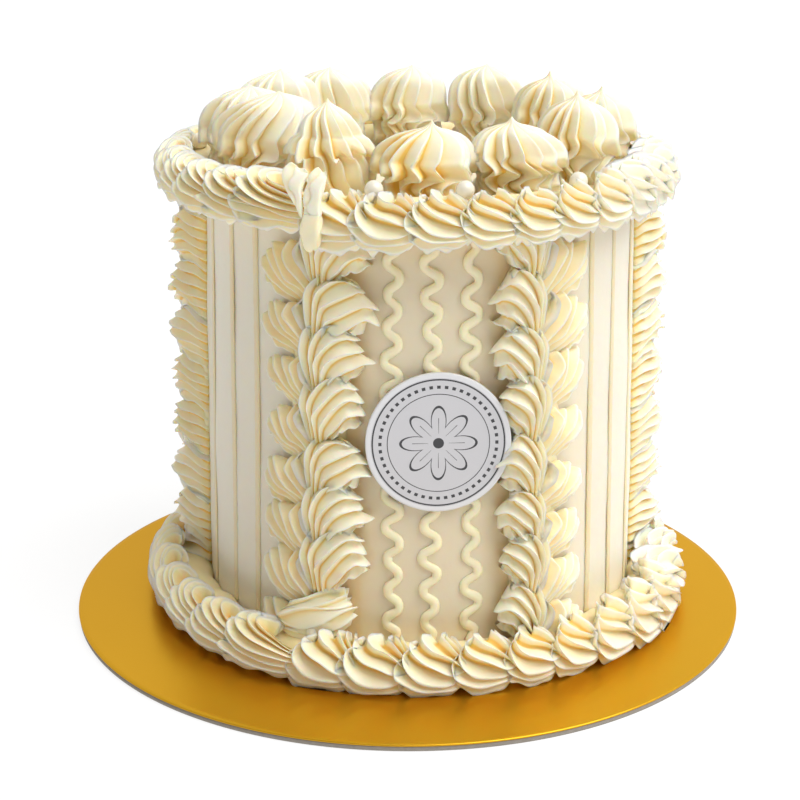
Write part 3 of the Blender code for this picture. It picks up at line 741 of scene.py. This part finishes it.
# Hand-finished spots at the seam: (along, out, up, half width, half thickness) rows in millimetres
seam = {
    "angle": -113.0,
    "reference": 92.0,  # radius at which the blobs' rows are wrapped round the cake
    "blobs": {
        "bulb": ((-0.6, 5.4, 164.8, 0.3, 0.3), (-0.9, 5.8, 167, 0.8, 0.7), (-1.6, 6, 170.4, 1.4, 1),
                 (-2.8, 5.4, 173.2, 2.4, 1.1), (-3.6, 4.2, 175.8, 3.6, 1.2), (-3.8, 2.8, 177.8, 4.2, 1.1),
                 (-3.6, 1.6, 179, 3.8, 0.8), (-3.4, 1.2, 179.6, 2.6, 0.4)),
        "slab": ((3.2, 5.2, 164.4, 2.4, 1), (3.1, 5.6, 166.4, 2.7, 1.3), (3, 5.4, 170, 2.6, 1.4),
                 (3.3, 4.6, 173.6, 2.8, 1.3), (3.9, 3.4, 176.6, 2.8, 1.1), (4.5, 2.2, 178.2, 2.3, 0.8),
                 (4.9, 1.6, 179, 1.5, 0.4)),
        "drip": ((3.1, 4.2, 167, 2, 1), (3, 5.4, 165, 2.9, 1.8), (2.7, 6, 161.4, 3, 2.1),
                 (2.5, 5.4, 158, 2.8, 1.9), (2.3, 4.4, 155.4, 2.1, 1.4), (2.3, 4, 154.4, 0.8, 0.5)),
    },
    # painted shade: the drip, hanging in shadow, is darker than the bulb and the slab
    "tones": {"bulb": 0.12, "slab": 0.12, "drip": 0.34},
    "smear": {
        "crests": 12, "drop": 0.2, "climb": 0.9, "boxy": 0.85, "depth": 0.17, "uneven": 0.34, "ragged": 0.012,
        "twist": 0.2, "sway": 0.2, "flare": 0.05, "tip": 2.4, "cup": 1.6, "headRound": 2.6, "tone": 0.45,
        "headFrom": 0.6, "headDepth": 0.5,
        "rows": ((-9, 3.6, 17.4, 1.6, 1.2), (-5.4, 6, 18.4, 4.6, 3.6), (0.6, 7.4, 20.2, 6.4, 4.8),
                 (7.6, 7.2, 22.4, 7.4, 5.2), (14, 5.6, 24.8, 7.4, 4.6), (19.4, 2.6, 26.6, 6, 3)),
        "tail": ((7.4, 10, 20.4, 2.2, 1.6), (7.8, 10.8, 17.6, 1.7, 1.4), (8.2, 11, 15.2, 0.8, 0.8),
                 (8.4, 11, 13.8, 0.25, 0.25)),
    },
}


# Path, half widths and half thicknesses, none under 0.15 mm, from a blob's smooth rows
def fromRows(rows):
    wide, high = (np.maximum(rows[None, :, i], 0.15) * mm for i in (3, 4))
    return rows[None, :, :3] * mm, wide, high


# Flattened blobs of the seam, their section squared off by (cos^5 + sin^5)^(-1/5), with a sway of 7 per cent,
# one crease with painted shade in it and a wavy upper end, and the smeared tuft with its drawn-down tail
def makeSeam():
    pieces = []
    stations, around, reference = 26, 40, seam["reference"] * mm
    phi = 2 * np.pi * np.arange(around) / around
    square = (abs(np.cos(phi)) ** 5 + abs(np.sin(phi)) ** 5) ** (-1 / 5) - 1
    upperEnd = smooth(np.linspace(0, 1, stations), 0.5, 1)[:, None]
    for name, table in seam["blobs"].items():
        rows = throughPoints(table, stations)
        path, wide, high = fromRows(rows)
        grids, poles, tone = roundSkins(path, wide, high, (1, 0, 0), around, seam["tones"][name])
        crease = np.exp(-((phi - 4.2 - 0.25 * np.sin(rows[:, 2:3])) / 0.22) ** 2)
        wobble = square + 0.07 * np.sin(3 * phi + rows[:, 2:3] * 0.9) - 0.5 * crease
        grids = grids + wobble[None, ..., None] * (grids - path[:, :, None])
        grids[..., 2] += 0.8 * mm * upperEnd * np.sin(2 * phi + 0.6)
        skins = (grids, poles, tone + 0.25 * crease)
        pieces.append((wrappedMesh("seam" + name.capitalize(), skins, seam["angle"], reference, 0, reference,
                                   buttercream), "top_border"))
    smear, reference = seam["smear"], garland["reference"] * mm
    tuft = pipedSkins(*fromRows(throughPoints(smear["rows"], 34)), (0, 0, 1), smear, np.array([3]))
    tail = roundSkins(*fromRows(throughPoints(smear["tail"], 16)), (1, 0, 0), 20, 0.1)
    for name, skins in (("smear", tuft), ("smearTail", tail)):
        pieces.append((wrappedMesh(name, skins, garland["first"], wallRadius, 0, reference, buttercream),
                       "column_1"))
    return pieces


for piece, node in makeSeam():
    addPiece(piece, node)


kiss = {
    "drop": 0.17, "climb": 0.7, "depth": 0.33, "tone": 0.75,
    "stations": 80,
    "girth": 1.03,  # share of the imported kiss's radius
    # share of the radius and share of the height, foot to tip
    "profiles": {
        "pointed": ((0.8, 0), (0.9, 0.07), (0.92, 0.18), (0.87, 0.28), (0.91, 0.35), (1.02, 0.41),
                    (1.05, 0.51), (1.01, 0.62), (0.89, 0.73), (0.68, 0.82), (0.42, 0.875), (0.2, 0.91),
                    (0.085, 0.945), (0.03, 0.98), (0.012, 1)),
        "dome": ((0.8, 0), (0.9, 0.07), (0.92, 0.18), (0.87, 0.28), (0.92, 0.35), (1.03, 0.41), (1.06, 0.53),
                 (1.03, 0.66), (0.93, 0.78), (0.74, 0.87), (0.5, 0.925), (0.28, 0.958), (0.12, 0.978),
                 (0.04, 0.992), (0.012, 1)),
        "collar": ((0.92, 0), (1.06, 0.08), (1.13, 0.2), (1.12, 0.34), (1.05, 0.44), (1.02, 0.49),
                   (1.08, 0.535), (1.09, 0.575), (0.97, 0.625), (0.83, 0.66), (0.76, 0.73), (0.62, 0.815),
                   (0.39, 0.885), (0.19, 0.93), (0.08, 0.96), (0.03, 0.985), (0.012, 1)),
    },
    "lipHeight": {"pointed": 0.43, "dome": 0.43, "collar": 0.55},
    # by the kiss's number; the rest are pointed, of plain girth and full painted shade
    "shapes": {2: "collar", **dict.fromkeys((1, *range(8, 13)), "dome")},
    "girths": {1: 1.08, 10: 1.04, 11: 1.12, 12: 1.22},
    # share of painted shade per kiss: less on kiss 1 and the back kisses, to brighten them, more on the front
    # kiss 3
    "shadeShare": {1: 0.8, 3: 1.35, **dict.fromkeys(range(8, 13), 0.7)},
    # lean of the tip in mm, twist in radians, waviness of the skirt, sharpness of the lip, crests
    "each": ((4.8, 1.2, 0.9, 1, 16), (-0.4, -1, 0.25, 1.6, 15), (2.1, 0.6, 1.3, 1.1, 13),
             (-1.9, -0.5, 1.5, 0.6, 15), (-0.2, 0.5, 1.3, 0.9, 16), (3, -0.4, 1.1, 1, 14),
             (-1.3, 0.8, 1.2, 0.8, 15), (-0.2, -0.7, 1.1, 1, 14), (1.8, 0.5, 1.4, 1.2, 14),
             (-0.6, -0.7, 0.9, 0.6, 15), (2.4, -0.6, 1, 0.6, 14), (0.5, 0.6, 1.2, 0.8, 15)),
}


# Piped kiss: an overhanging fluted cap over a wobbling skirt, drawn up to a leaning tip. Radius = profile *
# girth * (1 - depth * valley); the skirt's crests sway as sin(2 pi height / 0.34), and the cap's lip, a bell
# round the lip's height, hangs lower at the crests. The mask is the flutes' painted highlight and shade, with
# painted shade on the skirt under the cap, less towards the tip, scaled by the kiss's share of painted shade.
def makeKiss(number):
    spec = kiss
    node = "kiss_%02d" % number
    low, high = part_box(node)
    middle = np.array([(low.x + high.x) / 2, (low.y + high.y) / 2])
    radius = (high.x - low.x + high.y - low.y) / 4 * spec["girth"] * spec["girths"].get(number, 1.0)
    tall = high.z - low.z
    tipLean, twist, wavy, lipSharp, crests = spec["each"][number - 1]
    shape = spec["shapes"].get(number, "pointed")
    lipHeight = spec["lipHeight"][shape]
    rows = throughPoints(spec["profiles"][shape], spec["stations"])
    out, up = rows[:, 0:1] * radius, rows[:, 1:2]
    tau = crestPlaces(crests)
    t = tau % 1
    valley = flute(t, spec["drop"], spec["climb"])
    size, shift = (perCrest([number], tau, salt) for salt in (5, 9))
    skirt = 1 - smooth(up, lipHeight - 0.01, lipHeight + 0.19)
    phi = 2 * np.pi / crests * (tau[None] + 0.2 * shift)
    phi = phi + wavy * 0.17 * skirt * np.sin(2 * np.pi * up / (0.34 + 0.03 * size) + 1.2 * shift)
    phi = phi + twist * (up - 0.5) + number
    depth = spec["depth"] * (1 - 0.6 * smooth(up, 0.7, 1.0))
    share = (1 - depth * valley[None]) * (1 + 0.08 * size)
    lip = np.exp(-((up - lipHeight) / 0.05) ** 2)
    drop = lip * lipSharp * (0.05 * (0.5 + 0.5 * np.cos(2 * np.pi * t[None])) + 0.025 * size)
    share = share + 0.05 * lip * lipSharp * (1 - valley[None])
    lean = tipLean * mm * smooth(up, 0.55, 1.0) ** 1.5
    x = middle[0] + out * share * np.cos(phi) + lean
    y = middle[1] + out * share * np.sin(phi)
    z = np.clip(low.z + tall * (up - drop), low.z, high.z)
    # painted light: the flutes' highlight and shade, lessening towards the tip, with painted shade on the
    # skirt under the cap
    tone = fluteTone(t, valley, spec["drop"], spec["tone"], 0.07)[None] * (1 - 0.3 * smooth(up, 0.6, 1.0))
    tone = ((tone + 0.14 * skirt) * spec["shadeShare"].get(number, 1.0))[None]
    poles = np.array([[[middle[0], middle[1], low.z], [middle[0] + lean[-1, 0], middle[1], high.z]]])
    return skinMesh("kiss" + str(number), np.stack([x, y, z], -1)[None], poles, tone, buttercream), node


print("piping the kisses")
for number in range(1, 13):
    piece, node = makeKiss(number)
    addPiece(piece, node)


panels = {
    "first": -89.3,
    "foot": 13.0, "head": 157.0,
    # angles from the panel's middle, half height off the wall and half width, colour mask
    "ropes": {"places": (-8.0, 1.5, 11.0), "half": (1.15, 1.6), "tone": 0.34},
    "stripes": {"places": (-13.4, -3.0, 10.6), "half": (0.45, 1.35), "tone": 0.6},
    "wavePeriod": 11.5, "waveReach": 2.4,
    "reference": 80.0,  # radius at which millimetres across are turned into degrees
    "around": 620, "levels": 110,
    "edge": 3.0,  # rounding of the cake's top edge
    "unevenness": 0.16,
    # waves of the wall: number round the cake, radians a metre upwards, phase, share
    "sways": ((5, 40, 0, 1), (11, -90, 1, 0.7), (3, 150, 0, 0.5), (23, 60, 0, 0.3)),
    # colour mask of wavy and plain panels and of the top, the wavy panels' deeper cream partly their own and
    # partly painted bounce shade; its rise beside the garlands is painted golden shade, and under the border a
    # painted shadow
    "tones": {"wavy": 0.34, "plain": 0.04, "top": 0.35, "left": 0.38, "right": 0.25, "under": 0.25},
    # painted golden shade beside the garlands: where it starts and how far it spreads
    "sides": (-16.5, 18), "fade": 2.2,  # where the garlands' gold starts and how far it spreads, degrees
}


# Masked wall and top as one skin: foot ring up to the rounded edge and in to the middle of the top.
# The radius sways by a few long sine waves; the mask is warmer beside the garlands, painted golden shade by
# exp(-distance / fade), and on the wavy panels, partly their own cream and partly painted bounce shade.
def makeWall():
    levels, around, tones = panels["levels"], panels["around"], panels["tones"]
    low, top, edge = bodyLow.z, cake["top"], panels["edge"] * mm
    bend = np.radians([30, 60])
    straight = np.linspace(low, top - edge, levels)
    z = np.concatenate([straight, top - edge * (1 - np.sin(bend)), np.full(6, top)])
    r = wallRadius(np.minimum(z, top - edge))
    r[levels:levels + 2] -= edge * (1 - np.cos(bend))
    r[levels + 2:] = (r[levels - 1] - edge) * np.array([1.0, 0.9, 0.7, 0.5, 0.3, 0.1])
    turn, height = np.meshgrid(np.radians(np.arange(around) * 360 / around), z)
    sway = sum(share * np.sin(n * turn + rise * height + phase) for n, rise, phase, share in panels["sways"])
    radius = r[:, None] + panels["unevenness"] * mm * (sway - 1.5)
    grid = onCake(np.degrees(turn), radius, height)[None]
    fromFirst = np.degrees(turn) - panels["first"] + 30
    fromMiddle = fromFirst % 60 - 30
    wavy = np.floor(fromFirst / 60).astype(int) % 2 == 0
    nearLeft = np.exp(-np.maximum(fromMiddle - panels["sides"][0], 0) / panels["fade"])
    nearRight = np.exp(-np.maximum(panels["sides"][1] - fromMiddle, 0) / panels["fade"])
    tone = (np.where(wavy, tones["wavy"], tones["plain"]) + tones["left"] * nearLeft * np.where(wavy, 1, 0.5)
            + tones["right"] * nearRight * wavy)
    # painted shadow of the top border on the wavy panels' upper wall
    shade = top - 8 * mm
    tone = tone + tones["under"] * np.exp(-(shade - np.minimum(height, shade)) / (5 * mm)) * wavy
    tone[levels:] = tones["top"]
    poles = np.array([[[*cake["centre"], low], [*cake["centre"], top]]])
    return skinMesh("wall", grid, poles, tone[None], panelCream)


# Lines piped up the panels. Wavy ropes go across by reach * (cos(wave) - 0.10 * cos(3 wave)), with wave =
# 2 pi * height / period; flat stripes drift by 0.35 * sin(0.03 * height). Their section swells by sine waves.
def makeLines():
    foot, head = panels["foot"], panels["head"]
    up = np.linspace(foot, head, 200)
    paths, angles = {"ropes": [], "stripes": []}, {"ropes": [], "stripes": []}
    for number in range(6):
        middle = panels["first"] + 60 * number
        mirror = -1 if math.cos(math.radians(middle)) < 0 else 1
        name = "stripes" if number % 2 else "ropes"
        for k, place in enumerate(panels[name]["places"]):
            seed = number * 3 + k
            if name == "ropes":
                wave = 2 * math.pi * (up - foot - 3) / panels["wavePeriod"] + 0.5 * np.sin(up * 0.045 + seed)
                reach = panels["waveReach"] * (1 + 0.2 * np.sin(up * 0.13 + 2 * seed))
                reach = reach * smooth(up, foot, foot + 6) * (1 - smooth(up, head - 8, head))
                across = reach * (np.cos(wave) - 0.10 * np.cos(3 * wave)) + 0.5 * np.sin(up * 0.05 + 3 * seed)
                out = 0.35 + 0.15 * np.sin(up * 0.8 + seed)
            else:
                across, out = 0.35 * np.sin(up * 0.03 + 2 * seed), 0 * up
            paths[name].append(np.stack([across, out, up], -1))
            angles[name].append(middle + mirror * place)
    lines, reference = [], panels["reference"] * mm
    for name, material in (("ropes", buttercream), ("stripes", panelCream)):
        path = np.array(paths[name]) * mm
        k = np.arange(len(path))[:, None]
        wobble = 1 + 0.10 * np.sin(up * 0.9 + 5 * k) * np.sin(up * 0.31 + k)
        out, across = panels[name]["half"]
        skins = roundSkins(path, out * mm * wobble, across * mm * wobble, (0, 1, 0), 12, panels[name]["tone"])
        lines.append(wrappedMesh(name, skins, angles[name], wallRadius, 0, reference, material))
    return lines


print("spreading the wall")
for piece in (makeWall(), *makeLines()):
    addPiece(piece, "cake_body")


pearls = {
    "angles": (-159, -129, -100.8, -81, -53, -26, 20, 50, 78, 108, 138, 168),
    "ringRadius": 84.6, "height": 172.4, "radius": 3.1,
    "colours": ((0.92, 0.87, 0.74), (0.84, 0.78, 0.62)),
}


# Glossy sugar in two near shades of ivory, blended by soft noise
def makePearlIvory():
    material, tree, shader = newMaterial("pearlIvory")
    first, second = ((*colour, 1) for colour in pearls["colours"])
    fill(tree, shader, {
        "Base Color": mixed(tree, noise(tree, objectPlace(tree), 180), first, second),
        "Roughness": 0.22, "Coat Weight": 0.6, "Coat Roughness": 0.12,
    })
    return material


# Balls on a ring: middle + radius * (cos tilt cos turn, cos tilt sin turn, sin tilt)
def makePearls():
    angle, radius = np.array(pearls["angles"]), pearls["radius"] * mm
    middle = onCake(angle, pearls["ringRadius"] * mm, pearls["height"] * mm)
    tilt = np.radians(np.linspace(-84, 84, 23))[:, None]
    turn = 2 * np.pi * np.arange(36) / 36
    flat = np.cos(tilt)
    ball = np.stack(np.broadcast_arrays(flat * np.cos(turn), flat * np.sin(turn), np.sin(tilt)), -1)
    grids = middle[:, None, None, :] + ball[None] * radius
    poles = middle[:, None, :] + np.array([[0, 0, -1], [0, 0, 1]]) * radius
    return skinMesh("pearls", grids, poles, np.zeros(grids.shape[:3]), makePearlIvory())


print("placing the pearls and the label")
addPiece(makePearls(), "top_border")


label = {
    "angle": -86.2,
    "thickness": 1.2,
    "paper": (0.645, 0.64, 0.665), "rim": (0.8, 0.8, 0.82), "ink": (0.05, 0.05, 0.055),
    # drawing in shares of the radius; bands are given by their middle and half width
    "rimFrom": 0.93,
    "rings": ((0.905, 0.011), (0.7, 0.006)),
    "dots": (0.8, 0.022), "dotCount": 48,
    "petals": 8, "petalFrom": 0.24, "petalReach": 0.28, "petalLine": 0.018,
    "heart": 0.075, "veins": (0.25, 0.11), "veinWidth": 0.05,
}


# Label disc: rings from the back's edge over a rounded rim to the middle of the face, with its own UV
def makeLabel():
    low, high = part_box("front_label")
    aim = math.radians(label["angle"])
    facing = np.array([math.cos(aim), math.sin(aim), 0])
    across = np.array([-facing[1], facing[0], 0])
    middle = np.array([(low.x + high.x) / 2, (low.y + high.y) / 2, (low.z + high.z) / 2])
    radius, half = (high.z - low.z) / 2, label["thickness"] / 2 * mm
    # rings as share of the radius and side, -1 for the back and 1 for the face
    rings = [(0.97, -1), (1.0, -1), (1.0, 0.6), (0.992, 1.0)]
    rings += [(share, 1) for share in np.linspace(0.97, 0.06, 16)]
    share, side = (np.array(rings)[:, i:i + 1] for i in (0, 1))
    turn = 2 * np.pi * np.arange(180) / 180
    u, v = share * np.cos(turn), share * np.sin(turn)
    grid = (middle + radius * u[..., None] * across + radius * v[..., None] * np.array([0, 0, 1])
            + (side * half)[..., None] * facing)
    poles = np.array([[middle - half * facing, middle + half * facing]])
    piece = skinMesh("label", grid[None], poles, np.zeros((1,) + u.shape), makeLabelCard())
    mesh = piece.data
    points = np.concatenate([np.stack([u, v], -1).reshape(-1, 2), np.zeros((2, 2))])
    corner = np.empty(len(mesh.loops), np.int32)
    mesh.loops.foreach_get("vertex_index", corner)
    layer = mesh.uv_layers.new(name="face")
    layer.data.foreach_set("uv", points[corner].astype(np.float32).ravel())
    return piece


# Card of the label: paper with a paler rim, two inked rings, a ring of dots and a plain eight-petal flower.
# The masks are built from the distance to the middle and the angle round it: petals follow
# petalFrom + petalReach * |cos(petals / 2 * angle)|.
def makeLabelCard():
    material, tree, shader = newMaterial("labelCard")

    # Sum, product, and mask of a value within a band
    def sumOf(*parts):
        total = parts[0]
        for part in parts[1:]:
            total = calc(tree, "ADD", total, part)
        return total

    def times(a, b):
        return calc(tree, "MULTIPLY", a, b)

    def band(value, middle, half):
        return calc(tree, "COMPARE", value, middle, half)

    # Size of a wave of the angle: |cos(number * turn)|, or |sin(number * turn)|
    def wave(operation, number):
        return calc(tree, "ABSOLUTE", calc(tree, operation, times(turn, number)))

    uv = addNode(tree, "ShaderNodeUVMap", {}, uv_map="face").outputs["UV"]
    split = addNode(tree, "ShaderNodeSeparateXYZ", {0: uv}).outputs
    u, v = split["X"], split["Y"]
    away = calc(tree, "SQRT", sumOf(times(u, u), times(v, v)))
    turn = calc(tree, "ARCTAN2", v, u)
    rings = sumOf(*(band(away, *ring) for ring in label["rings"]))
    dotWave = calc(tree, "COSINE", times(turn, label["dotCount"]))
    dots = times(band(away, *label["dots"]), calc(tree, "GREATER_THAN", dotWave, 0.1))
    petal = sumOf(label["petalFrom"], times(wave("COSINE", label["petals"] / 2), label["petalReach"]))
    outline = band(calc(tree, "SUBTRACT", away, petal), 0.0, label["petalLine"])
    heart = calc(tree, "LESS_THAN", away, label["heart"])
    vein = band(wave("SINE", label["petals"] / 2), 0.0, label["veinWidth"])
    veins = times(vein, band(away, *label["veins"]))
    ink = calc(tree, "MINIMUM", sumOf(rings, dots, outline, heart, veins), 1.0)
    paper, rim, black = ((*label[key], 1) for key in ("paper", "rim", "ink"))
    base = mixed(tree, calc(tree, "GREATER_THAN", away, label["rimFrom"]), paper, rim)
    fill(tree, shader, {"Base Color": mixed(tree, ink, base, black), "Roughness": 0.35})
    return material


addPiece(makeLabel(), "front_label")


board = {
    "foilDrop": 0.7,  # how far the foil comes down over the card's edge
    "cardColour": (0.36, 0.32, 0.27),
    "fleck": 0.7,  # brightness of the card's darker flecks
}


# Bare card: its colour blended with a darker one by fine noise
def makeCardEdge():
    material, tree, shader = newMaterial("cardEdge")
    pale, dark = ((*[v * share for v in board["cardColour"]], 1) for share in (1, board["fleck"]))
    flecks = noise(tree, objectPlace(tree), 700)
    fill(tree, shader, {"Base Color": mixed(tree, flecks, pale, dark), "Roughness": 0.8})
    return material


# Card core and the foil over it, each a turned skin of (radius, height) rows in millimetres
def makeBoard():
    radius, top = cake["cardRadius"] / mm, cake["cardTop"] / mm
    seat = top - board["foilDrop"]
    core = ((radius - 0.5, 0), (radius - 0.25, 0.1), (radius - 0.2, 0.5), (radius - 0.2, seat),
            (radius - 1, seat))
    foil = ((radius - 1, seat + 0.05), (radius - 0.1, seat + 0.05), (radius, seat + 0.25),
            (radius - 0.05, top - 0.2), (radius - 0.3, top), (radius - 2, top), (radius * 0.6, top),
            (radius * 0.2, top))
    turn = 2 * np.pi * np.arange(300) / 300
    for name, rows, material in (("cardCore", core, makeCardEdge()), ("foil", foil, goldFoil)):
        r, z = (np.array(rows)[:, i:i + 1] * mm for i in (0, 1))
        grid = np.stack([r * np.cos(turn), r * np.sin(turn), z + 0 * turn], -1)[None]
        poles = np.array([[[0, 0, rows[0][1] * mm], [0, 0, rows[-1][1] * mm]]])
        addPiece(skinMesh(name, grid, poles, np.zeros(grid.shape[:3]), material), "cake_board")


print("cutting the card")
makeBoard()


studio = {
    "floorColour": (0.22, 0.22, 0.22),
    "floorGlow": 0.79,
    "floorReach": 60.0,  # metres, so that its edge never shows
    "frontSky": 0.30,
    "backSky": 0.92,
    "skyFrom": -0.6, "skyTo": 0.9,  # y of the view direction over which the sky brightens
    "sideSky": 0.08,
    "sunStrength": 2.78,
    "sunFrom": (0.42, -0.2, 0.7),
    "sunSoftness": 55,
}


# Backlit white sweep
def makeFloor():
    mesh = bpy.data.meshes.new("floor")
    reach = studio["floorReach"]
    corners = [(-reach, -reach, 0), (reach, -reach, 0), (reach, reach, 0), (-reach, reach, 0)]
    mesh.from_pydata(corners, [], [(0, 1, 2, 3)])
    material, tree, shader = newMaterial("paleFloor")
    fill(tree, shader, {
        "Base Color": (*studio["floorColour"], 1), "Roughness": 0.9, "Specular IOR Level": 0.1,
        "Emission Color": (1, 1, 1, 1), "Emission Strength": studio["floorGlow"],
    })
    mesh.materials.append(material)
    floor = addObject("floor", mesh)


# Soft white sky, brighter towards the back and the right: strength = a blend by y + sideSky * x
def makeSky():
    world = bpy.data.worlds.new("studio")
    bpy.context.scene.world = world
    world.use_nodes = True
    tree = world.node_tree
    place = addNode(tree, "ShaderNodeTexCoord", {}).outputs["Generated"]
    split = addNode(tree, "ShaderNodeSeparateXYZ", {0: place}).outputs
    depth = addNode(tree, "ShaderNodeMapRange", {
        "Value": split["Y"], "From Min": studio["skyFrom"], "From Max": studio["skyTo"],
        "To Min": studio["frontSky"], "To Max": studio["backSky"],
    }).outputs[0]
    strength = calc(tree, "MULTIPLY_ADD", split["X"], studio["sideSky"], depth)
    fill(tree, tree.nodes["Background"], {"Strength": strength, "Color": (1, 1, 1, 1)})


# Soft sun that shines from sunFrom to the origin: tilt from straight down, then turn about the vertical
def makeSun():
    light = bpy.data.lights.new("softSun", "SUN")
    light.energy = studio["sunStrength"]
    light.angle = math.radians(studio["sunSoftness"])
    lamp = addObject("softSun", light)
    x, y, z = (-v for v in studio["sunFrom"])
    lamp.rotation_euler = (math.acos(-z / math.hypot(x, y, z)), 0, math.atan2(y, x) - math.pi / 2)


view = {
    "place": (-0.0029, -0.6018, 0.27),
    "down": 17.70,  # degrees below level
    "lens": 74.98, "sensor": 36,  # millimetres
}


# Camera at the photograph's viewing angle
def makeCamera():
    lens = bpy.data.cameras.new("camera")
    lens.sensor_width = view["sensor"]
    lens.lens = view["lens"]
    camera = addObject("camera", lens)
    camera.location = view["place"]
    camera.rotation_euler = (math.radians(90 - view["down"]), 0, 0)
    bpy.context.scene.camera = camera


print("lighting the studio")
makeFloor()
makeSky()
makeSun()
makeCamera()
bpy.context.scene.view_settings.view_transform = "Standard"

print("scene ready")
